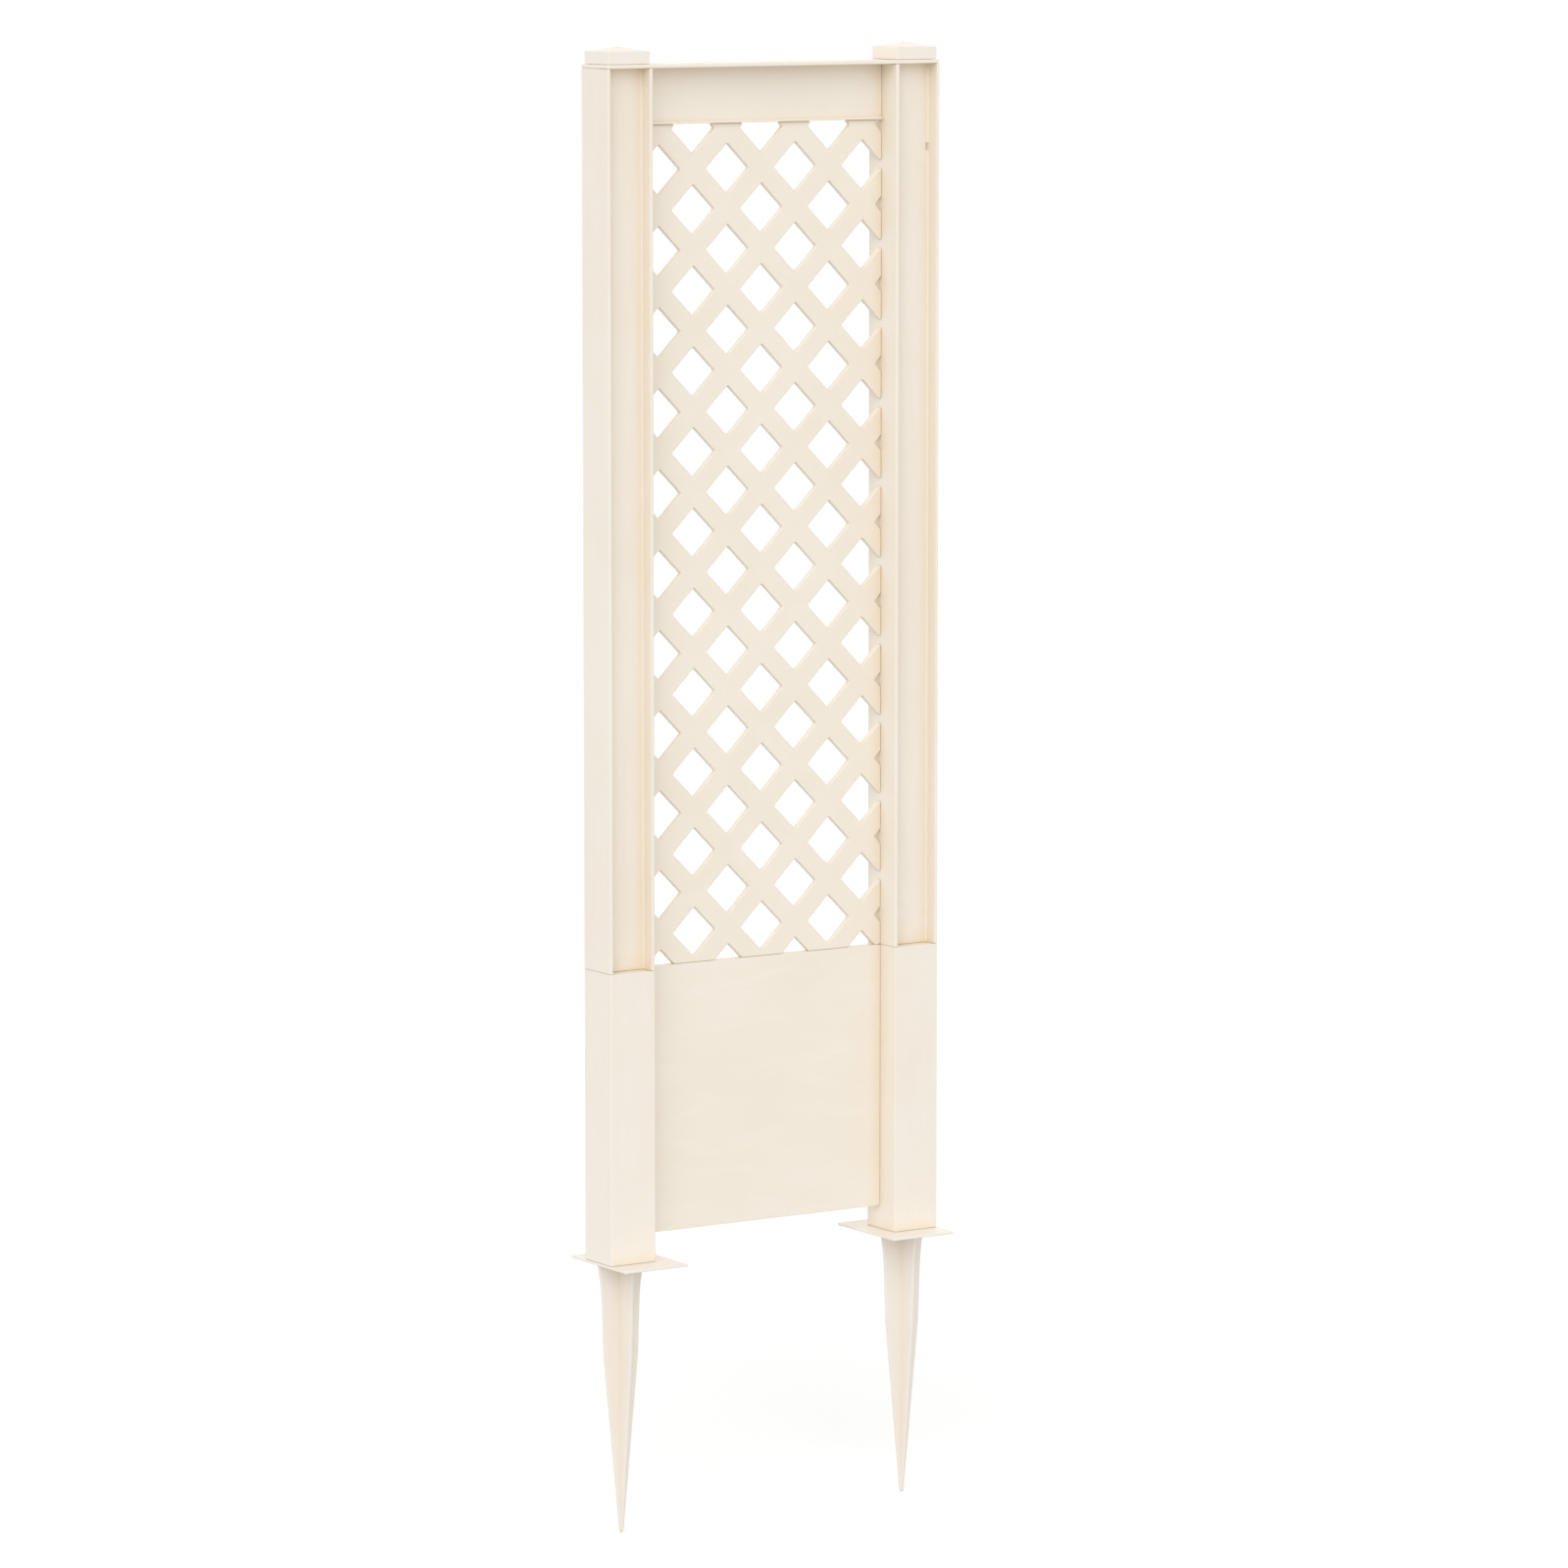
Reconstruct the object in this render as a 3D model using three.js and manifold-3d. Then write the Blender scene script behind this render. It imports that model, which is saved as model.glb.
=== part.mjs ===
// Garden trellis panel on two ground spikes, moulded plastic, in millimetres, +Z up.
// Origin: on the soil line, midway between the posts. +X to the right across the width, front face towards -Y.
// The undersides of the foot plates lie in the plane Z = 0 and the spikes go down below it.

import * as THREE from 'three';
import { mergeVertices } from 'three/addons/utils/BufferGeometryUtils.js';
import Module from 'manifold-3d';

// ---------------------------------------------------------------- driving dimensions
const WIDTH = 457;            // over the two posts
const POST_W = 61;            // post, across the width
const POST_D = 59;            // post, front to back
const GAP = 0.3;              // between pieces that touch
const FLANGE_T = 3;           // foot plate thickness
const FLANGE_OUT = 2;         // foot plate beyond the post: outer side
const FLANGE_IN = 23.5;       // inner side
const FLANGE_FRONT = 33.5;    // front
const FLANGE_BACK = 29.5;     // back
const SEAM_Z = 347;           // top of the lower posts and of the lower board
const BOARD_Z = 31;           // lower edge of the lower board
const BAND_Z = 1327;          // lower edge of the solid band under the top rail
const RIM_T = 4.5;            // cover plate over the whole width
const RIM_TOP = 1397;
const PANEL_Y = 1.5;          // front face of board, lattice and band
const PANEL_T = 8;            // lattice thickness
const HALF_PITCH = 46.9;      // lattice: crossings at multiples of this, both ways
const CROSS_Z = 805.6;        // height of the crossing on the centre line
const SLAT_W = 24.4;          // slat width
const WALL_OUT = 4;           // upper post: outer wall
const WALL_IN = 4.5;          // upper post: inner wall
const WEB_DEPTH = 18;         // recess from the front edge to the web
const WEB_T = 3.5;
const BOX_WALL = 4;           // lower post wall
const CAP_W = 56, CAP_D = 54, CAP_H = 15, CAP_RISE = 5.2, CAP_WALL = 3;
const SPIKE_T = 4;            // thickness of the two crossed spike blades
// half width of the spike blades at depths below the foot plate
const SPIKE_PROFILE = [[0, 31], [-10, 29.2], [-24, 27], [-42, 25.4], [-112, 22.9], [-317, 2.6], [-322, 1.6]];

const POST_X = (WIDTH - POST_W) / 2;         // post centre
const INNER_X = WIDTH / 2 - POST_W;          // inner face of a post
const FRONT = -POST_D / 2, BACK = POST_D / 2;
const RIM_Z = RIM_TOP - RIM_T;
const WEB_Y = FRONT + WEB_DEPTH;

// ---------------------------------------------------------------- solids
const wasm = await Module();
wasm.setup();

function solid(geometry) {
  const g = geometry.index ? geometry.toNonIndexed() : geometry.clone();
  for (const name of Object.keys(g.attributes)) if (name !== 'position') g.deleteAttribute(name);
  const merged = mergeVertices(g, 1e-4);
  return new wasm.Manifold(new wasm.Mesh({
    numProp: 3,
    vertProperties: new Float32Array(merged.attributes.position.array),
    triVerts: new Uint32Array(merged.index.array),
  }));
}

function geometryOf(manifold) {
  const m = manifold.getMesh();
  const g = new THREE.BufferGeometry();
  g.setAttribute('position', new THREE.BufferAttribute(new Float32Array(m.vertProperties), 3));
  g.setIndex(new THREE.BufferAttribute(new Uint32Array(m.triVerts), 1));
  g.computeVertexNormals();
  return g;
}

const box = (x0, x1, y0, y1, z0, z1) => {
  const [a, b] = [Math.min(x0, x1), Math.max(x0, x1)];
  return solid(new THREE.BoxGeometry(b - a, y1 - y0, z1 - z0).translate((a + b) / 2, (y0 + y1) / 2, (z0 + z1) / 2));
};
const add = (...parts) => parts.reduce((a, b) => a.add(b));
const cut = (body, ...tools) => tools.reduce((a, b) => a.subtract(b), body);

// a flat outline in X and Z, extruded along Y
const plateXZ = (points, y0, y1) => {
  const shape = new THREE.Shape(points.map(([x, z]) => new THREE.Vector2(x, z)));
  const g = new THREE.ExtrudeGeometry(shape, { depth: y1 - y0, bevelEnabled: false });
  return solid(g.rotateX(Math.PI / 2).translate(0, y1, 0));
};

// a prism that narrows upwards, made as a convex hull-free loft between two rectangles
const frustum = (w0, d0, w1, d1, z0, z1) => {
  const v = [];
  for (const [w, d, z] of [[w0, d0, z0], [w1, d1, z1]]) v.push([-w / 2, -d / 2, z], [w / 2, -d / 2, z], [w / 2, d / 2, z], [-w / 2, d / 2, z]);
  const tris = [[0, 2, 1], [0, 3, 2], [4, 5, 6], [4, 6, 7]];
  for (let i = 0; i < 4; i++) { const j = (i + 1) % 4; tris.push([i, j, j + 4], [i, j + 4, i + 4]); }
  const g = new THREE.BufferGeometry();
  g.setAttribute('position', new THREE.BufferAttribute(new Float32Array(tris.flat().flatMap((i) => v[i])), 3));
  return solid(g);
};

// ---------------------------------------------------------------- materials
const cream = () => new THREE.MeshStandardMaterial({ color: 0xefe2cf, roughness: 0.55, metalness: 0 });

const trellis = new THREE.Group();
function place(name, manifold, x = 0, y = 0, z = 0) {
  const mesh = new THREE.Mesh(geometryOf(manifold), cream());
  mesh.name = name;
  mesh.position.set(x, y, z);
  trellis.add(mesh);
  return mesh;
}

// heights of the hook slots in the inner walls, and the slots' size
const BOARD_HOOKS = [90, 280], BAND_HOOKS = [1358], HOOK_H = 24, HOOK_T = 4, HOOK_L = 9;
const HOOK_Y = PANEL_Y + 2;

// ---------------------------------------------------------------- posts, feet and caps, left (-1) and right (+1)
// each is drawn about its post's own centre line, with s pointing outwards
for (const [side, s] of [['left', -1], ['right', 1]]) {
  const outer = s * POST_W / 2, inner = -s * POST_W / 2;

  // foot: plate, crossed spike blades below it, crossed spigot blades above it
  const bladeX = plateXZ([...SPIKE_PROFILE.map(([z, a]) => [-a, z]), ...SPIKE_PROFILE.map(([z, a]) => [a, z]).reverse()], -SPIKE_T / 2, SPIKE_T / 2);
  const bladeY = bladeX.rotate([0, 0, 90]);
  const plate = box(outer + s * FLANGE_OUT, inner - s * FLANGE_IN, FRONT - FLANGE_FRONT, BACK + FLANGE_BACK, 0, FLANGE_T);
  const sx = POST_W / 2 - BOX_WALL - GAP, sy = POST_D / 2 - BOX_WALL - GAP;
  const spigot = add(
    box(-sx, sx, -1.5, 1.5, FLANGE_T - 1, 44),
    box(-1.5, 1.5, -sy, sy, FLANGE_T - 1, 44),
    box(-sx, -sx + 3, -14, 14, FLANGE_T - 1, 44),
    box(sx - 3, sx, -14, 14, FLANGE_T - 1, 44),
  );
  place(`ground_spike_${side}`, add(plate, bladeX.translate([0, 0, 0.5]).intersect(box(-60, 60, -60, 60, -400, 1)), bladeY.translate([0, 0, 0.5]).intersect(box(-60, 60, -60, 60, -400, 1)), spigot), s * POST_X);

  // lower post: closed box with a closed top, open below, slots for the board's hooks, tongue for the upper post
  const lower0 = FLANGE_T + GAP;
  const ix = POST_W / 2 - BOX_WALL, iy = POST_D / 2 - BOX_WALL;
  let lower = cut(
    box(-POST_W / 2, POST_W / 2, FRONT, BACK, lower0, SEAM_Z),
    box(-ix, ix, -iy, iy, lower0 - 5, SEAM_Z - BOX_WALL),
  );
  for (const h of BOARD_HOOKS) lower = cut(lower, box(inner - s, inner + s * (BOX_WALL + 1), HOOK_Y - GAP, HOOK_Y + HOOK_T + GAP, h - HOOK_H / 2 - GAP, h + HOOK_H / 2 + GAP));
  // the tongue stands in the channel behind the upper post's web
  const t0 = WEB_Y + WEB_T + GAP, tx = POST_W / 2 - 5;
  const tongue = cut(
    box(-tx, tx, t0, t0 + 16, SEAM_Z - 1, SEAM_Z + 48),
    box(-tx + 3, tx - 3, t0 + 3, t0 + 20, SEAM_Z, SEAM_Z + 60),
  );
  place(`lower_post_${side}`, add(lower, tongue), s * POST_X);

  // upper post: two side walls and a recessed web, ribs across the back channel
  const z0 = SEAM_Z + GAP, z1 = RIM_Z - GAP;
  const outerWall = box(outer, outer - s * WALL_OUT, FRONT, BACK, z0, z1);
  let innerWall = box(inner, inner + s * WALL_IN, FRONT, BACK, z0, z1);
  for (const h of BAND_HOOKS) innerWall = cut(innerWall, box(inner - s, inner + s * (WALL_IN + 1), HOOK_Y - GAP, HOOK_Y + HOOK_T + GAP, h - HOOK_H / 2 - GAP, h + HOOK_H / 2 + GAP));
  let web = box(outer - s * 1, inner + s * 1, WEB_Y, WEB_Y + WEB_T, z0, z1);
  // latch window in the web, next to the outer wall
  web = cut(web, box(outer - s * WALL_OUT, outer - s * (WALL_OUT + 4), WEB_Y - 1, WEB_Y + WEB_T + 1, 1290, 1299));
  const ribs = [];
  for (let i = 1; i <= 6; i++) {
    const z = 320 + i * 150;
    ribs.push(box(outer - s * 1, inner + s * 1, WEB_Y + 1, BACK - 9, z - 1.5, z + 1.5));
  }
  place(`upper_post_${side}`, add(outerWall, innerWall, web, ...ribs), s * POST_X);

  // cap: hollow square block with a shallow pyramid, two snap legs through the rail
  const capZ = RIM_TOP + GAP;
  const capOuter = add(
    box(-CAP_W / 2, CAP_W / 2, -CAP_D / 2, CAP_D / 2, 0, CAP_H),
    frustum(CAP_W, CAP_D, 1.2, 1.2, CAP_H, CAP_H + CAP_RISE),
  );
  const capInner = add(
    box(-CAP_W / 2 + CAP_WALL, CAP_W / 2 - CAP_WALL, -CAP_D / 2 + CAP_WALL, CAP_D / 2 - CAP_WALL, -1, CAP_H - CAP_WALL),
  );
  const legs = [-1, 1].map((k) => box(k * 14, k * 17, 4, 14, -28, CAP_H - 1));
  place(`post_cap_${side}`, add(cut(capOuter, capInner), ...legs), s * POST_X, 0, capZ);
}

// ---------------------------------------------------------------- top rail: cover plate and hanging band
{
  let rim = box(-WIDTH / 2, WIDTH / 2, FRONT, BACK, RIM_Z, RIM_TOP);
  // square openings for the caps' snap legs
  for (const s of [-1, 1]) for (const k of [-1, 1]) rim = cut(rim, box(s * POST_X + k * 15.5 - 2, s * POST_X + k * 15.5 + 2, 3.5, 14.5, RIM_Z - 1, RIM_TOP + 1));
  const x = INNER_X - GAP;
  const band = box(-x, x, PANEL_Y, PANEL_Y + 4, BAND_Z, RIM_Z + 1);
  const lip = box(-x, x, PANEL_Y - 4, PANEL_Y + PANEL_T, BAND_Z, BAND_Z + 3);
  const stiffeners = [-112, 0, 112].map((c) => box(c - 1.5, c + 1.5, PANEL_Y + 3, PANEL_Y + PANEL_T + 8, BAND_Z + 1, RIM_Z + 1));
  const hooks = [-1, 1].flatMap((s) => BAND_HOOKS.map((h) => box(s * (x - 1), s * (INNER_X + HOOK_L - 2), HOOK_Y, HOOK_Y + HOOK_T, h - HOOK_H / 2, h + HOOK_H / 2)));
  const root = [-1, 1].flatMap((s) => BAND_HOOKS.map((h) => box(s * (x - 8), s * x, PANEL_Y + 1, HOOK_Y + HOOK_T, h - HOOK_H / 2, h + HOOK_H / 2)));
  place('top_rail', add(rim, band, lip, ...stiffeners, ...hooks, ...root));
}

// ---------------------------------------------------------------- lower board: front sheet, back frame and ribs
{
  const x = INNER_X - GAP, y = PANEL_Y, t = 3.5, d = 10;
  const sheet = box(-x, x, y, y + t, BOARD_Z, SEAM_Z);
  const frame = [
    box(-x, x, y + 1, y + d, BOARD_Z, BOARD_Z + 3.5), box(-x, x, y + 1, y + d, SEAM_Z - 3.5, SEAM_Z),
    box(-x, -x + 3.5, y + 1, y + d, BOARD_Z, SEAM_Z), box(x - 3.5, x, y + 1, y + d, BOARD_Z, SEAM_Z),
  ];
  const ribs = [-84, 0, 84].map((c) => box(c - 1.25, c + 1.25, y + 1, y + d - 1, BOARD_Z + 1, SEAM_Z - 1));
  const ribsX = [136, 242].map((c) => box(-x + 1, x - 1, y + 1, y + d - 1, c - 1.25, c + 1.25));
  const hooks = [-1, 1].flatMap((s) => BOARD_HOOKS.map((h) => box(s * (x - 5), s * (INNER_X + HOOK_L - 2), HOOK_Y, HOOK_Y + HOOK_T, h - HOOK_H / 2, h + HOOK_H / 2)));
  place('lower_board', add(sheet, ...frame, ...ribs, ...ribsX, ...hooks));
}

// ---------------------------------------------------------------- lattice: two sets of diagonal slats, half-lapped where they cross
{
  const x = INNER_X - GAP, zLow = SEAM_Z + GAP, zHigh = BAND_Z - GAP;
  const window_ = box(-x, x, PANEL_Y - 1, PANEL_Y + PANEL_T + 1, zLow, zHigh);
  const midY = PANEL_Y + PANEL_T / 2;
  const notch = SLAT_W + 2 * GAP;
  for (const [letter, dir] of [['a', 1], ['b', -1]]) {
    // dir 1: slats run down to the right (front at the crossings); dir -1: up to the right (back at the crossings)
    let n = 0;
    for (let k = -8; k <= 9; k++) {
      // the slat's middle passes through (0, CROSS_Z + 2k half pitches)
      const zc = CROSS_Z + 2 * k * HALF_PITCH;
      const low = zLow - x, high = zHigh + x;
      if (zc + SLAT_W / Math.SQRT2 < low + 12 || zc - SLAT_W / Math.SQRT2 > high - 12) continue;
      n += 1;
      // drawn along X, then turned by 45 degrees about Y
      let slat = box(-1200, 1200, PANEL_Y, PANEL_Y + PANEL_T, -SLAT_W / 2, SLAT_W / 2);
      for (let j = -16; j <= 16; j++) {
        const c = j * HALF_PITCH * Math.SQRT2;
        slat = cut(slat, dir > 0
          ? box(c - notch / 2, c + notch / 2, midY - GAP / 2, PANEL_Y + PANEL_T + 1, -SLAT_W, SLAT_W)
          : box(c - notch / 2, c + notch / 2, PANEL_Y - 1, midY + GAP / 2, -SLAT_W, SLAT_W));
      }
      slat = slat.rotate([0, dir * 45, 0]).translate([0, 0, zc]).intersect(window_);
      if (slat.volume() < 500) { n -= 1; continue; }
      place(`slat_${letter}${String(n).padStart(2, '0')}`, slat);
    }
  }
}

export default trellis;
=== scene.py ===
"""Garden trellis on two ground spikes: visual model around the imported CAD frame. Blender 4.5, metres."""

import math

import bmesh
import bpy
from mathutils import Matrix, Vector
from mathutils.geometry import delaunay_2d_cdt, tessellate_polygon


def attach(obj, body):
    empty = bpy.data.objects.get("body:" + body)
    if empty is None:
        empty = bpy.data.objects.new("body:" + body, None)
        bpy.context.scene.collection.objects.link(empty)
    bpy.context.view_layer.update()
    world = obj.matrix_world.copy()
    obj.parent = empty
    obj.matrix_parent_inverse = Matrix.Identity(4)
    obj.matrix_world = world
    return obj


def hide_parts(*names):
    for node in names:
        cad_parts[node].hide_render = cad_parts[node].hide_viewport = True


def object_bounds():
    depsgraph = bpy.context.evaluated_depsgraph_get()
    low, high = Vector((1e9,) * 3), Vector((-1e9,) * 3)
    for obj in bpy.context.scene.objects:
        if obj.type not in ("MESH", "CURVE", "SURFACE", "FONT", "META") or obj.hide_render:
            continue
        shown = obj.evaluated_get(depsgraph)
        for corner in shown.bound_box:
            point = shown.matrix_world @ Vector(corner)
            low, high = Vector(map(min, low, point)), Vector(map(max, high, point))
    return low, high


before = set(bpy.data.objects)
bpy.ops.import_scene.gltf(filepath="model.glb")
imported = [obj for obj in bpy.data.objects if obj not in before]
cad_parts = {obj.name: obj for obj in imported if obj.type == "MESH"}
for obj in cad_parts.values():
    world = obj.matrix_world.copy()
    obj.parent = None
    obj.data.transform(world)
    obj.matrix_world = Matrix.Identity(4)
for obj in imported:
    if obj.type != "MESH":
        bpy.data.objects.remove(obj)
CAD_LO, CAD_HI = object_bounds()
scene = bpy.context.scene
MM = 0.001

# ------------------------------------------------------------------ dimensions of the object, in millimetres
WIDTH, POST_W, POST_D, GAP = 457.0, 61.0, 59.0, 0.3
SEAM_Z, BOARD_Z, BAND_Z, RIM_TOP, RIM_T = 347.0, 31.0, 1327.0, 1397.0, 4.5
PANEL_Y, PANEL_T, HALF_PITCH, CROSS_Z, SLAT_W = 1.5, 8.0, 46.9, 805.6, 24.4
POST_X = (WIDTH - POST_W) / 2
INNER_X = WIDTH / 2 - POST_W
RIM_Z = RIM_TOP - RIM_T
WEB_Y = -POST_D / 2 + 18
FLANGE_T = 3.0
EDGE = INNER_X - GAP
HOOK_Y, HOOK_H, HOOK_T, HOOK_END = PANEL_Y + 2, 24.0, 4.0, INNER_X + 7


# ------------------------------------------------------------------ 2D outlines
def rounded(points, radius, seg=4):
    """The outline with each corner turned into an arc. radius is one number or one per corner."""
    n, out = len(points), []
    for i in range(n):
        p, a, b = Vector(points[i]), Vector(points[i - 1]), Vector(points[(i + 1) % n])
        r = radius[i] if isinstance(radius, (list, tuple)) else radius
        d1, d2 = a - p, b - p
        l1, l2 = d1.length, d2.length
        d1, d2 = d1 / l1, d2 / l2
        ang = d1.angle(d2)
        if r < 1e-6 or ang > math.pi - 0.02:
            out.append(p)
            continue
        t = min(r / math.tan(ang / 2), 0.48 * l1, 0.48 * l2)
        rr = t * math.tan(ang / 2)
        c = p + (d1 + d2).normalized() * (rr / math.sin(ang / 2))
        s0, s1 = p + d1 * t - c, p + d2 * t - c
        a0 = math.atan2(s0.y, s0.x)
        da = (math.atan2(s1.y, s1.x) - a0 + math.pi) % (2 * math.pi) - math.pi
        for k in range(seg + 1):
            out.append(c + rr * Vector((math.cos(a0 + da * k / seg), math.sin(a0 + da * k / seg))))
    return out


def rect(x0, x1, y0, y1, r=0.0, seg=3):
    x0, x1 = min(x0, x1), max(x0, x1)
    return rounded([(x0, y0), (x1, y0), (x1, y1), (x0, y1)], r, seg)


def area(loop):
    return sum(loop[i - 1].x * p.y - p.x * loop[i - 1].y for i, p in enumerate(loop)) / 2


def mirrored(points, s):
    return [(s * x, y) for x, y in points] if s > 0 else [(s * x, y) for x, y in reversed(points)]


def inset(loop, d):
    """The loop moved by d to its left, which is into the material."""
    if d == 0:
        return list(loop)
    out, n = [], len(loop)
    for i, p in enumerate(loop):
        e1, e2 = (p - loop[i - 1]).normalized(), (loop[(i + 1) % n] - p).normalized()
        n1, n2 = Vector((-e1.y, e1.x)), Vector((-e2.y, e2.x))
        out.append(p + (n1 + n2) * (d / max(0.35, 1 + n1.dot(n2))))
    return out


# ------------------------------------------------------------------ solids
def new_object(name, bm):
    bmesh.ops.remove_doubles(bm, verts=bm.verts, dist=1e-7)
    bmesh.ops.recalc_face_normals(bm, faces=bm.faces)
    me = bpy.data.meshes.new(name)
    bm.to_mesh(me)
    bm.free()
    ob = bpy.data.objects.new(name, me)
    scene.collection.objects.link(ob)
    return ob


def prism(loops, w0, w1, bevel=0.5, axis="z", seg=3, ends=(True, True), name="p"):
    """A flat outline with holes, extruded from w0 to w1 along an axis, its end edges rounded. Millimetres in, metres out."""
    loops = [[Vector(p) for p in loop] for loop in loops]
    for i, loop in enumerate(loops):
        if (area(loop) > 0) != (i == 0):
            loop.reverse()
    levels = []
    steps = [k / seg * math.pi / 2 for k in range(seg + 1)]
    if ends[0] and bevel:
        levels += [(w0 + bevel * (1 - math.cos(t)), bevel * (1 - math.sin(t))) for t in steps]
    else:
        levels += [(w0, 0.0)]
    if ends[1] and bevel:
        levels += [(w1 - bevel * (1 - math.cos(t)), bevel * (1 - math.sin(t))) for t in reversed(steps)]
    else:
        levels += [(w1, 0.0)]
    place = {
        "z": lambda u, v, w: (u, v, w),
        "y": lambda u, v, w: (u, w, v),
        "x": lambda u, v, w: (w, u, v),
    }[axis]
    bm = bmesh.new()
    rings = []
    for w, d in levels:
        rings.append([[bm.verts.new([c * MM for c in place(p.x, p.y, w)]) for p in inset(loop, d)] for loop in loops])
    for a, b in zip(rings, rings[1:]):
        for la, lb in zip(a, b):
            for i in range(len(la)):
                j = (i + 1) % len(la)
                bm.faces.new((la[i], la[j], lb[j], lb[i]))
    for ring, (w, d) in ((rings[0], levels[0]), (rings[-1], levels[-1])):
        flat = [inset(loop, d) for loop in loops]
        verts = [v for r in ring for v in r]
        if len(loops) == 1:
            bm.faces.new(verts)
            continue
        for tri in tessellate_polygon([[Vector((p.x, p.y, 0)) for p in loop] for loop in flat]):
            if len(set(tri)) == 3:
                try:
                    bm.faces.new([verts[k] for k in tri])
                except ValueError:
                    pass
    return new_object(name, bm)


def block(x0, x1, y0, y1, z0, z1, bevel=0.35, r=0.35, axis="z", ends=(True, True)):
    """A small bar of a moulding, all its edges rounded."""
    if axis == "z":
        return prism([rect(x0, x1, y0, y1, r, 2)], z0, z1, bevel, "z", 2, ends)
    if axis == "y":
        return prism([rect(x0, x1, z0, z1, r, 2)], y0, y1, bevel, "y", 2, ends)
    return prism([rect(y0, y1, z0, z1, r, 2)], min(x0, x1), max(x0, x1), bevel, "x", 2, ends)


def rings_solid(rings, name="p"):
    """A closed solid lofted through rings of the same number of points, in millimetres."""
    bm = bmesh.new()
    vs = [[bm.verts.new([c * MM for c in p]) for p in ring] for ring in rings]
    for a, b in zip(vs, vs[1:]):
        for i in range(len(a)):
            j = (i + 1) % len(a)
            bm.faces.new((a[i], a[j], b[j], b[i]))
    bm.faces.new(vs[0])
    bm.faces.new(vs[-1])
    return new_object(name, bm)


def combine(base, others, how):
    """Boolean union or difference, applied."""
    for o in others:
        mod = base.modifiers.new("b", "BOOLEAN")
        mod.operation, mod.solver, mod.object = how, "MANIFOLD", o
    bpy.context.view_layer.update()
    me = bpy.data.meshes.new_from_object(base.evaluated_get(bpy.context.evaluated_depsgraph_get()))
    base.modifiers.clear()
    base.data = me
    for o in others:
        bpy.data.objects.remove(o)
    return base


def add(base, *others):
    return combine(base, others, "UNION")


def cut(base, *others):
    return combine(base, others, "DIFFERENCE")


def finish_mesh(ob, name, x=0.0, y=0.0, z=0.0, sharp=38):
    """Moves the vertices into the row frame, cleans the mesh and sets its shading."""
    ob.name = ob.data.name = name
    ob.data.transform(Matrix.Translation(Vector((x, y, z)) * MM))
    bm = bmesh.new()
    bm.from_mesh(ob.data)
    bmesh.ops.remove_doubles(bm, verts=bm.verts, dist=2e-6)
    bmesh.ops.dissolve_degenerate(bm, edges=bm.edges, dist=1e-6)
    bmesh.ops.recalc_face_normals(bm, faces=bm.faces)
    open_edges = sum(not e.is_manifold for e in bm.edges)
    bm.to_mesh(ob.data)
    bm.free()
    ob.data.shade_smooth()
    ob.data.set_sharp_from_angle(angle=math.radians(sharp))
    mod = ob.modifiers.new("normals", "WEIGHTED_NORMAL")
    mod.mode, mod.weight, mod.keep_sharp = "FACE_AREA", 50, True
    print(f"piece {name}: {len(ob.data.polygons)} faces, {open_edges} open edges")
    return ob


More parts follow.
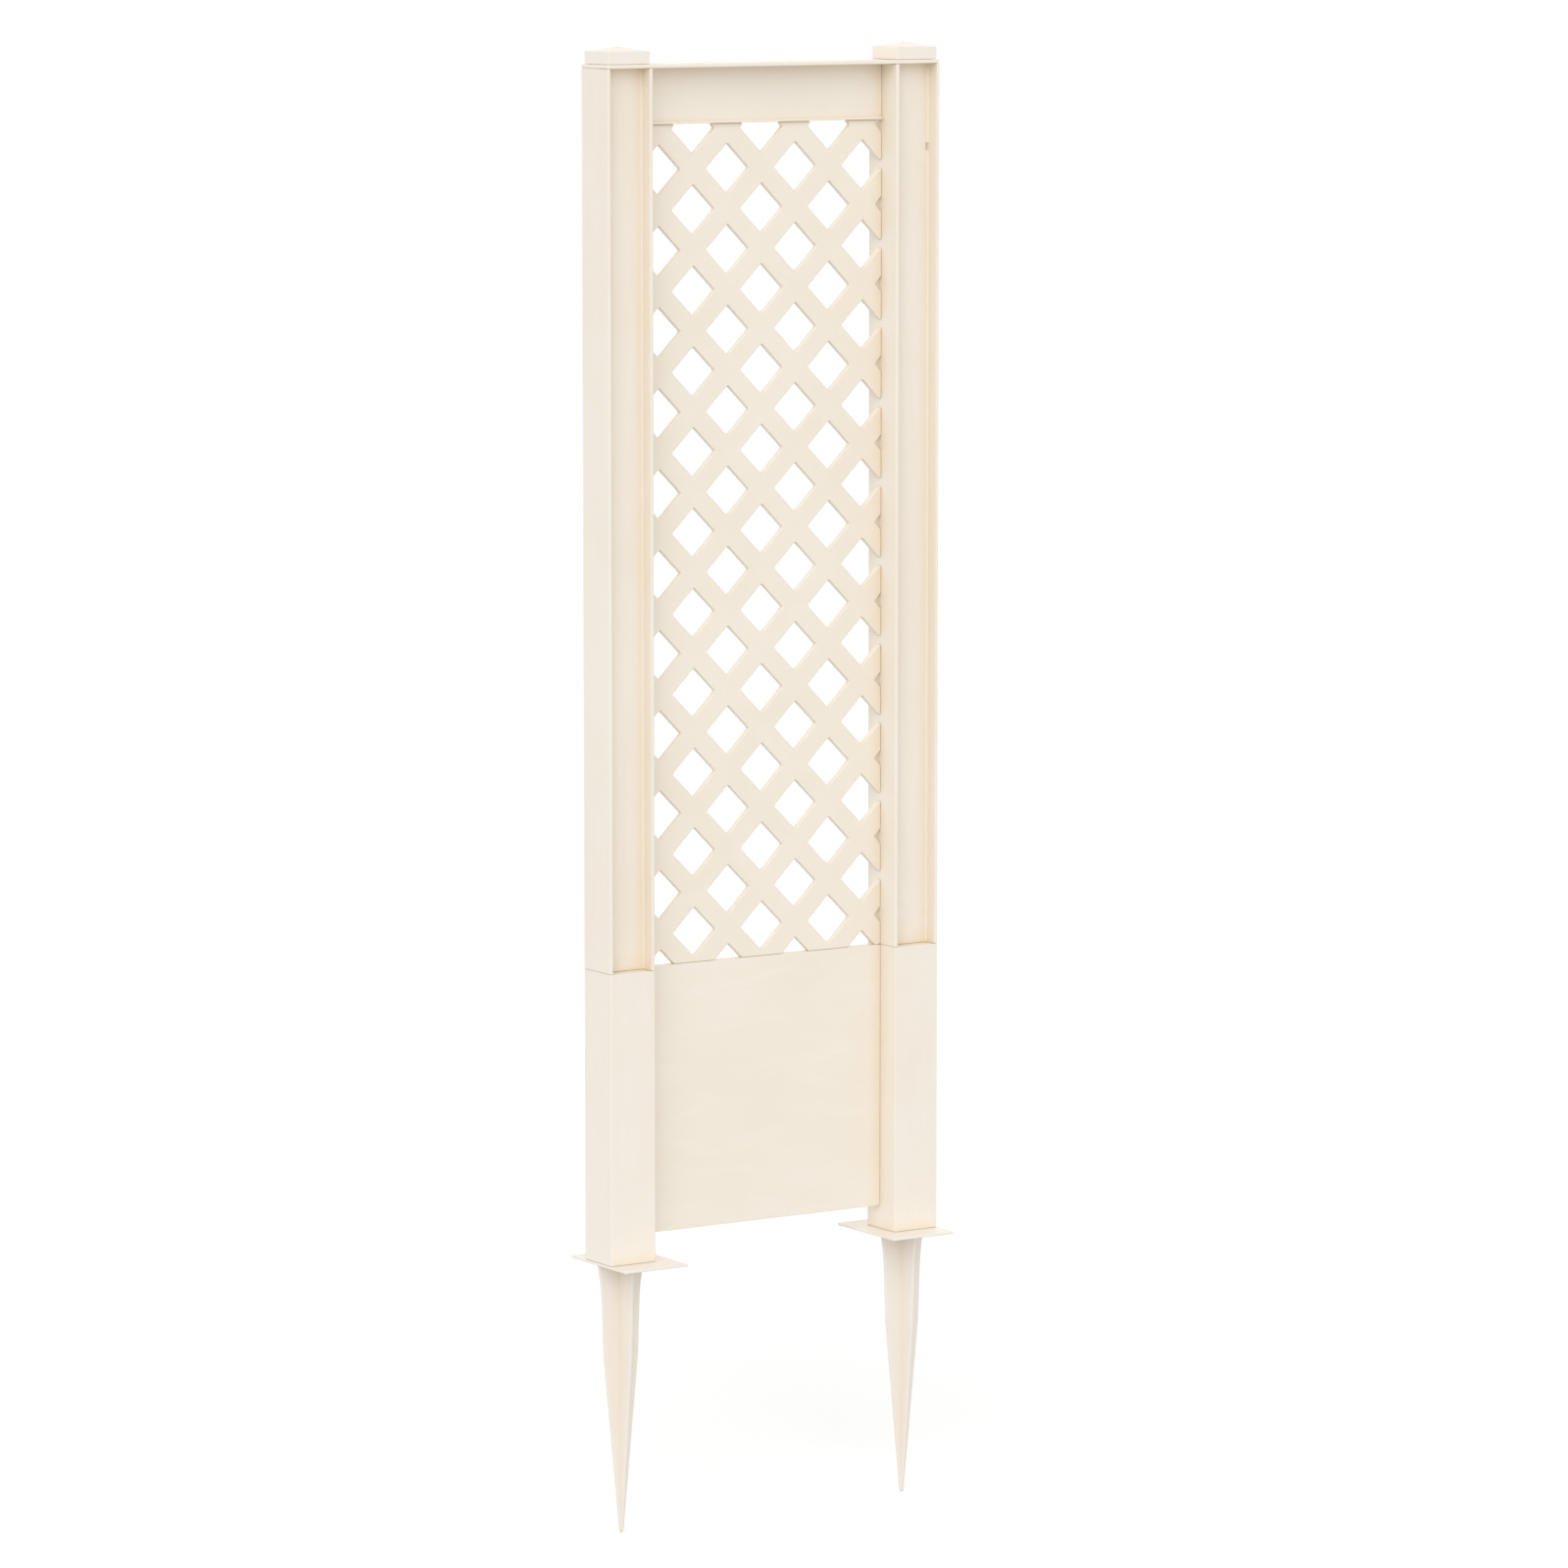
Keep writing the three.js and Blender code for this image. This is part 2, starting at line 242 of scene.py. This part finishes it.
# ------------------------------------------------------------------ materials
# corner sets the strength of the painted shade in corners and recesses
def resin(name, flow=(1, 1, 1), tone=(1, 1, 1), seed=0.0, grain=1.0, corner=0.55):
    """Matt moulded plastic: satin spark-eroded grain, faint flow marks, slight waviness, light chalking."""
    mat = bpy.data.materials.new(name)
    mat.use_nodes = True
    nt = mat.node_tree
    nt.nodes.clear()
    n, link = nt.nodes.new, nt.links.new
    out = n("ShaderNodeOutputMaterial")
    p = n("ShaderNodeBsdfPrincipled")
    link(p.outputs["BSDF"], out.inputs["Surface"])
    p.inputs["IOR"].default_value = 1.49
    p.inputs["Specular IOR Level"].default_value = 0.42
    coord = n("ShaderNodeTexCoord")
    shift = n("ShaderNodeVectorMath")
    shift.operation = "ADD"
    shift.inputs[1].default_value = (seed, seed * 0.7, seed * 1.3)
    link(coord.outputs["Object"], shift.inputs[0])
    stretch = n("ShaderNodeVectorMath")
    stretch.operation = "MULTIPLY"
    stretch.inputs[1].default_value = flow
    link(shift.outputs[0], stretch.inputs[0])

    def noise(vector, scale, detail=3.0, rough=0.5, warp=0.0):
        t = n("ShaderNodeTexNoise")
        t.inputs["Scale"].default_value = scale
        t.inputs["Detail"].default_value = detail
        t.inputs["Roughness"].default_value = rough
        t.inputs["Distortion"].default_value = warp
        link(vector, t.inputs["Vector"])
        return t.outputs["Fac"]

    def ramp(value, lo, hi, a, b):
        m = n("ShaderNodeMapRange")
        m.inputs["From Min"].default_value, m.inputs["From Max"].default_value = lo, hi
        m.inputs["To Min"].default_value, m.inputs["To Max"].default_value = a, b
        link(value, m.inputs["Value"])
        return m.outputs["Result"]

    def mix(fac, a, b):
        m = n("ShaderNodeMix")
        m.data_type = "RGBA"
        link(fac, m.inputs[0])
        for socket, v in ((m.inputs[6], a), (m.inputs[7], b)):
            if isinstance(v, tuple):
                socket.default_value = (*[c * t for c, t in zip(v, tone)], 1)
            else:
                link(v, socket)
        return m.outputs[2]

    cloud = noise(shift.outputs[0], 5.0, 4, 0.55, 0.4)  # slow change of tone over a hand's width
    marks = noise(stretch.outputs[0], 26.0, 5, 0.6, 0.6)  # flow marks along the moulding
    speck = noise(shift.outputs[0], 420.0, 2, 0.7)  # pigment and dust in the skin
    body = mix(ramp(cloud, 0.35, 0.68, 0, 1), BASE, WARM)
    body = mix(ramp(marks, 0.46, 0.72, 0, 0.55), body, CHALK)
    body = mix(ramp(speck, 0.60, 0.78, 0, 0.30), body, DUST)
    # painted shade: ambient occlusion darkens and warms the base colour in corners, recesses and under edges
    ao = n("ShaderNodeAmbientOcclusion")
    ao.samples = 12
    ao.inputs["Distance"].default_value = 0.024
    body = mix(ramp(ao.outputs["AO"], 0.90, 0.30, 0.0, corner), body, PAINTED_CORNER_SHADE)
    link(body, p.inputs["Base Color"])

    satin = noise(shift.outputs[0], 60.0, 4, 0.6)
    rough = n("ShaderNodeMath")
    rough.operation = "MULTIPLY_ADD"
    link(ramp(satin, 0.35, 0.65, 0.92, 1.10), rough.inputs[0])
    rough.inputs[1].default_value = 0.50
    link(ramp(marks, 0.4, 0.75, 0.0, 0.06), rough.inputs[2])
    link(rough.outputs[0], p.inputs["Roughness"])

    # waviness of the wall over a few centimetres, then the fine grain of the mould on top
    wave = n("ShaderNodeBump")
    wave.inputs["Strength"].default_value = 0.30
    wave.inputs["Distance"].default_value = 0.0006
    link(noise(stretch.outputs[0], 17.0, 2, 0.4), wave.inputs["Height"])
    cell = n("ShaderNodeTexVoronoi")
    cell.inputs["Scale"].default_value = 780.0
    link(shift.outputs[0], cell.inputs["Vector"])
    g = n("ShaderNodeMath")
    g.operation = "ADD"
    link(noise(shift.outputs[0], 1500.0, 2, 0.6), g.inputs[0])
    link(cell.outputs["Distance"], g.inputs[1])
    fine = n("ShaderNodeBump")
    fine.inputs["Strength"].default_value = 0.22 * grain
    fine.inputs["Distance"].default_value = 0.00012
    link(g.outputs[0], fine.inputs["Height"])
    link(wave.outputs["Normal"], fine.inputs["Normal"])
    link(fine.outputs["Normal"], p.inputs["Normal"])
    return mat


BASE = (0.908, 0.840, 0.736)
WARM = (0.892, 0.811, 0.692)
CHALK = (0.919, 0.861, 0.773)
DUST = (0.808, 0.722, 0.604)
# painted shade: the darker, warmer colour mixed in where corners and recesses are occluded
PAINTED_CORNER_SHADE = (0.800, 0.640, 0.440)
POST_MAT = resin("resin_posts", flow=(2.2, 2.2, 0.22), seed=1.0, tone=(1.0, 1.005, 1.018))
PANEL_MAT = resin("resin_panel", flow=(0.8, 0.8, 0.8), seed=4.3, tone=(0.992, 0.985, 0.972))
BOARD_MAT = resin("resin_board", flow=(0.35, 1.6, 1.2), seed=7.9)
# the small parts get a weaker painted shade in their corners
SMALL_MAT = resin("resin_small_parts", flow=(1.2, 1.2, 0.5), seed=11.6, tone=(0.996, 1.008, 1.042), corner=0.22)


def piece(ob, material, *nodes):
    ob.data.materials.clear()
    ob.data.materials.append(material)
    for poly in ob.data.polygons:
        poly.material_index = 0
    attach(ob, "root")
    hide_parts(*nodes)
    return ob


# ------------------------------------------------------------------ posts, feet and caps
SPIKE = [(1.0, 31), (-9.5, 29.2), (-23.5, 27), (-41.5, 25.4), (-111.5, 22.9), (-316.5, 2.6), (-321.5, 1.6)]

for side, s in (("left", -1), ("right", 1)):
    outer, inner = s * POST_W / 2, -s * POST_W / 2
    f, b = -POST_D / 2, POST_D / 2

    # upper post: H section with two side walls and a web set back from the front
    section = [
        (30.5, f), (30.5, b), (26.5, b), (26.5, WEB_Y + 3.5), (-26, WEB_Y + 3.5), (-26, b),
        (-30.5, b), (-30.5, f), (-26, f), (-26, WEB_Y), (26.5, WEB_Y), (26.5, f),
    ]
    radii = [1.5, 1.3, 1.0, 2.2, 2.2, 1.0, 1.3, 1.5, 1.1, 2.2, 2.2, 1.1]
    if s < 0:
        section, radii = mirrored(section, -1), radii[::-1]
    z0, z1 = SEAM_Z + GAP, RIM_Z - GAP
    post = prism([rounded(section, radii, 4)], z0, z1, 0.45)
    ribs = []
    for i in range(1, 7):
        z = 320 + i * 150
        ribs.append(block(-28.5, 28, WEB_Y + 1, b - 9, z - 1.5, z + 1.5, 0.5, 0.8))
        # small triangular gussets carry each rib into the side walls
        for k, wall in ((-1, -26.4 * s), (1, 26.9 * s)):
            e = 7 if wall < 0 else -7
            tri = [(wall, z), (wall + e, z), (wall, z + 11)]
            if area([Vector(p) for p in tri]) < 0:
                tri.reverse()
            ribs.append(prism([rounded(tri, 0.3, 2)], WEB_Y + 1, b - 12, 0.4, "y", 2))
    post = add(post, *ribs)
    slot_box = prism([rect(inner - s, inner + s * 5.5, 1358 - 12.3, 1358 + 12.3)], HOOK_Y - GAP, HOOK_Y + HOOK_T + GAP, 0, "y")
    window = prism([rect(outer - s * 4, outer - s * 8, 1290, 1299, 0.8)], WEB_Y - 2, WEB_Y + 5, 0, "y")
    post = cut(post, slot_box, window)
    piece(finish_mesh(post, f"post_upper_{side}", s * POST_X), POST_MAT, f"upper_post_{side}")

    # lower post: closed box, open below, with the tongue for the upper post
    low = prism([rect(-30.5, 30.5, f, b, 1.5, 4)], FLANGE_T + GAP, SEAM_Z, 0.45)
    low = cut(low, prism([rect(-26.5, 26.5, f + 4, b - 4, 2.5, 3)], -5, SEAM_Z - 4, 1.5, ends=(False, True)))
    low = cut(low, *[
        prism([rect(inner - s, inner + s * 5, h - 12.3, h + 12.3)], HOOK_Y - GAP, HOOK_Y + HOOK_T + GAP, 0, "y")
        for h in (90, 280)
    ])
    t0 = WEB_Y + 3.5 + GAP
    u = [(-25.5, t0), (25.5, t0), (25.5, t0 + 16), (22.5, t0 + 16), (22.5, t0 + 3), (-22.5, t0 + 3), (-22.5, t0 + 16), (-25.5, t0 + 16)]
    tongue = prism([rounded(u, [1.6, 1.6, 0.9, 0.9, 1.6, 1.6, 0.9, 0.9], 3)], SEAM_Z - 1, SEAM_Z + 48, 0.5, ends=(False, True))
    low = add(low, tongue)
    piece(finish_mesh(low, f"post_lower_{side}", s * POST_X), POST_MAT, f"lower_post_{side}")

    # foot: plate, crossed spike blades with rounded edges, crossed spigot inside the post
    plate = prism([rect(outer + s * 2, inner - s * 23.5, f - 33.5, b + 29.5, 1.6, 4)], 0, FLANGE_T, 0.8)
    outline = [(-a, z) for z, a in SPIKE] + [(a, z) for z, a in reversed(SPIKE)]
    ease = [0, 5, 12, 20, 40, 1.2, 1.0]
    outline = rounded(outline, ease + ease[::-1], 3)
    blade_x = prism([outline], -2, 2, 0.9, "y")
    blade_y = prism([outline], -2, 2, 0.9, "x")
    sx, sy = 26.2, 25.2
    spigot = [
        block(-sx, sx, -1.5, 1.5, FLANGE_T - 1, 44), block(-1.5, 1.5, -sy, sy, FLANGE_T - 1, 44),
        block(-sx, -sx + 3, -14, 14, FLANGE_T - 1, 44), block(sx - 3, sx, -14, 14, FLANGE_T - 1, 44),
    ]
    foot = add(plate, blade_x, blade_y, *spigot)
    piece(finish_mesh(foot, f"foot_{side}", s * POST_X), SMALL_MAT, f"ground_spike_{side}")

    # cap: hollow block under a shallow pyramid with softened hips, two snap legs
    def cap_ring(d, z, r):
        return [(p.x, p.y, z) for p in rect(-28 + d, 28 - d, -27 + d, 27 - d, r, 4)]

    rings = [cap_ring(0.5, 0, 1.6), cap_ring(0.15, 0.15, 1.6), cap_ring(0, 0.5, 1.6), cap_ring(0, 13.9, 1.6)]
    rings += [cap_ring(0.12, 14.4, 1.6), cap_ring(0.42, 14.8, 1.5), cap_ring(0.95, 15.1, 1.4)]
    for t in (0.25, 0.5, 0.75, 0.93, 0.975):
        rings.append(cap_ring(0.95 + t * 25.6, 15.1 + t * 4.95, 1.4 - t * 1.05))
    rings.append(cap_ring(26.4, 20.12, 0.3))
    cap = rings_solid(rings)
    cap = cut(cap, prism([rect(-25, 25, -24, 24, 1.2, 3)], -1, 12, 1.0, ends=(False, True)))
    cap = add(cap, *[block(k * 14, k * 17, 4, 14, -28, 13, 0.6, 0.5) for k in (-1, 1)])
    piece(finish_mesh(cap, f"cap_{side}", s * POST_X, 0, RIM_TOP + GAP, sharp=32), SMALL_MAT, f"post_cap_{side}")

# ------------------------------------------------------------------ top rail: cover plate and hanging band
rim = prism([rect(-WIDTH / 2, WIDTH / 2, -POST_D / 2, POST_D / 2, 1.8, 4)], RIM_Z, RIM_TOP, 1.0, seg=4)
band = prism([rect(-EDGE, EDGE, BAND_Z, RIM_Z + 1.5, 0.6)], PANEL_Y, PANEL_Y + 4, 0.5, "y")
lip = prism([rect(-EDGE, EDGE, PANEL_Y - 4, PANEL_Y + PANEL_T, 0.9)], BAND_Z, BAND_Z + 3, 0.8)
stiff = [block(c - 1.5, c + 1.5, PANEL_Y + 3, PANEL_Y + PANEL_T + 8, BAND_Z + 1, RIM_Z + 1.5, 0.4, 0.6) for c in (-112, 0, 112)]
hooks = [block(k * (EDGE - 8), k * HOOK_END, HOOK_Y, HOOK_Y + HOOK_T, 1358 - 12, 1358 + 12, 0.6, 0.6, "x") for k in (-1, 1)]
rim = add(rim, band, lip, *stiff, *hooks)
rim = cut(rim, *[
    prism([rect(s * POST_X + k * 15.5 - 2, s * POST_X + k * 15.5 + 2, 3.5, 14.5, 0.3)], RIM_Z - 2, RIM_TOP + 2, 0)
    for s in (-1, 1) for k in (-1, 1)
])
piece(finish_mesh(rim, "rail_top"), BOARD_MAT, "top_rail")

# ------------------------------------------------------------------ lower board: front sheet, back frame and ribs
sheet = prism([rect(-EDGE, EDGE, BOARD_Z, SEAM_Z, 1.0)], PANEL_Y, PANEL_Y + 3.5, 0.6, "y")
ring = prism([rect(-EDGE, EDGE, BOARD_Z, SEAM_Z, 1.0), rect(-EDGE + 3.5, EDGE - 3.5, BOARD_Z + 3.5, SEAM_Z - 3.5, 1.5)],
             PANEL_Y + 1, PANEL_Y + 10, 0.5, "y", ends=(False, True))
ribs = [block(c - 1.25, c + 1.25, PANEL_Y + 2, PANEL_Y + 9, BOARD_Z + 1.5, SEAM_Z - 1.5, 0.4, 0.4) for c in (-84, 0, 84)]
ribs += [block(-EDGE + 1.5, EDGE - 1.5, PANEL_Y + 2.2, PANEL_Y + 8.8, c - 1.25, c + 1.25, 0.4, 0.4, "x") for c in (136, 242)]
ribs += [block(k * (EDGE - 5), k * HOOK_END, HOOK_Y, HOOK_Y + HOOK_T, h - 12, h + 12, 0.6, 0.6, "x") for k in (-1, 1) for h in (90, 280)]
board = add(sheet, ring, *ribs)
piece(finish_mesh(board, "board_lower"), BOARD_MAT, "lower_board")

# ------------------------------------------------------------------ lattice: one flush moulding with diamond openings
half = HALF_PITCH - SLAT_W / math.sqrt(2)
z_low, z_high = SEAM_Z + GAP, BAND_Z - GAP
verts = [(-EDGE, z_low), (EDGE, z_low), (EDGE, z_high), (-EDGE, z_high)]
faces = [(0, 1, 2, 3)]
for m in range(-4, 5):
    for n in range(-12, 14):
        x, z = HALF_PITCH * m, CROSS_Z + HALF_PITCH * n
        if (m + n) % 2 == 0 or abs(x) - half > EDGE - 0.6 or z + half < z_low + 0.6 or z - half > z_high - 0.6:
            continue
        k = len(verts)
        verts += [(x - half, z), (x, z - half), (x + half, z), (x, z + half)]
        faces.append((k, k + 1, k + 2, k + 3))
v2, e2, f2, _, _, orig = delaunay_2d_cdt([Vector(v) for v in verts], [], faces, 0, 1e-5)
solid_tris = [tuple(f) for f, o in zip(f2, orig) if 0 in o and len(o) == 1]
count = {}
for f in solid_tris:
    for i in range(3):
        e = (f[i], f[(i + 1) % 3])
        count[e] = count.get(e, 0) + 1
after = {}
for a, b in count:
    if (b, a) not in count:
        after.setdefault(a, []).append(b)
loops = []
while after:
    start = next(iter(sorted(after)))
    loop, at = [], start
    while True:
        loop.append(at)
        nxt = after[at].pop()
        if not after[at]:
            del after[at]
        at = nxt
        if at == start:
            break
    pts = [Vector(v2[i]) for i in loop]
    # straight runs lose their middle points
    keep = [p for i, p in enumerate(pts) if abs((p - pts[i - 1]).normalized().cross((pts[(i + 1) % len(pts)] - p).normalized())) > 1e-3]
    loops.append(keep)
loops.sort(key=lambda l: -abs(area(l)))
loops = [rounded(l, 1.6 if i == 0 else 1.8, 3) for i, l in enumerate(loops)]
print("lattice outlines", len(loops))
panel = prism(loops, PANEL_Y, PANEL_Y + PANEL_T, 0.9, "y", 3)
slats = [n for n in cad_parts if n.startswith("slat_")]
piece(finish_mesh(panel, "lattice_panel"), PANEL_MAT, *slats)

# ------------------------------------------------------------------ floor, light, camera
floor_z = CAD_LO.z
bm = bmesh.new()
bmesh.ops.create_circle(bm, cap_ends=True, radius=140.0, segments=96)
floor = new_object("floor", bm)
floor.location.z = floor_z - 0.0005
floor.visible_diffuse = False
fm = bpy.data.materials.new("floor_white")
fm.use_nodes = True
fp = fm.node_tree.nodes["Principled BSDF"]
fp.inputs["Base Color"].default_value = (0.93, 0.93, 0.93, 1)
fp.inputs["Roughness"].default_value = 0.9
fp.inputs["Specular IOR Level"].default_value = 0.1
fp.inputs["Emission Color"].default_value = (1, 1, 1, 1)
fp.inputs["Emission Strength"].default_value = 0.09
floor.data.materials.append(fm)

# white studio: brighter from above than from below
world = bpy.data.worlds.new("studio")
scene.world = world
world.use_nodes = True
wt = world.node_tree
bg = wt.nodes["Background"]
wc = wt.nodes.new("ShaderNodeTexCoord")
ws = wt.nodes.new("ShaderNodeSeparateXYZ")
wr = wt.nodes.new("ShaderNodeMapRange")
wr.inputs["From Min"].default_value, wr.inputs["From Max"].default_value = -1.0, 1.0
wr.inputs["To Min"].default_value, wr.inputs["To Max"].default_value = 0.0, 1.0
ramp_node = wt.nodes.new("ShaderNodeValToRGB")
stops = ramp_node.color_ramp.elements
stops[0].position, stops[1].position = 0.0, 1.0
for at, level in ((0.0, 0.61), (0.36, 0.68), (0.485, 1.0), (0.60, 1.0), (0.78, 0.84), (1.0, 0.80)):
    e = stops[0] if at == 0.0 else stops[len(stops) - 1] if at == 1.0 else stops.new(at)
    e.color = (level, level, level, 1)
wt.links.new(wc.outputs["Generated"], ws.inputs[0])
wt.links.new(ws.outputs["Z"], wr.inputs["Value"])
wt.links.new(wr.outputs["Result"], ramp_node.inputs["Fac"])
wt.links.new(ramp_node.outputs["Color"], bg.inputs["Color"])
bg.inputs["Strength"].default_value = 1.0


def sunlight(name, towards, energy, angle, colour):
    data = bpy.data.lights.new(name, "SUN")
    data.energy, data.angle, data.color = energy, math.radians(angle), colour
    ob = bpy.data.objects.new(name, data)
    scene.collection.objects.link(ob)
    ob.rotation_mode = "QUATERNION"
    ob.rotation_quaternion = Vector(towards).to_track_quat("Z", "Y")


sunlight("key", (-0.55, -0.60, 0.50), 0.86, 50, (1.0, 1.0, 1.0))
sunlight("fill_back", (0.60, 0.70, 0.35), 0.38, 60, (1.0, 1.0, 1.0))

cam_data = bpy.data.cameras.new("camera")
cam_data.sensor_width, cam_data.lens = 36.0, 165.75
cam_data.clip_start, cam_data.clip_end = 0.1, 400.0
cam = bpy.data.objects.new("camera", cam_data)
scene.collection.objects.link(cam)
cam.location = (-4.540, -7.091, 1.630)
yaw, pitch = math.radians(32.799), math.radians(7.30)
look = Vector((math.sin(yaw) * math.cos(pitch), math.cos(yaw) * math.cos(pitch), -math.sin(pitch)))
cam.rotation_mode = "QUATERNION"
cam.rotation_quaternion = look.to_track_quat("-Z", "Y")
scene.camera = cam

scene.view_settings.view_transform = "Standard"
scene.view_settings.look = "None"
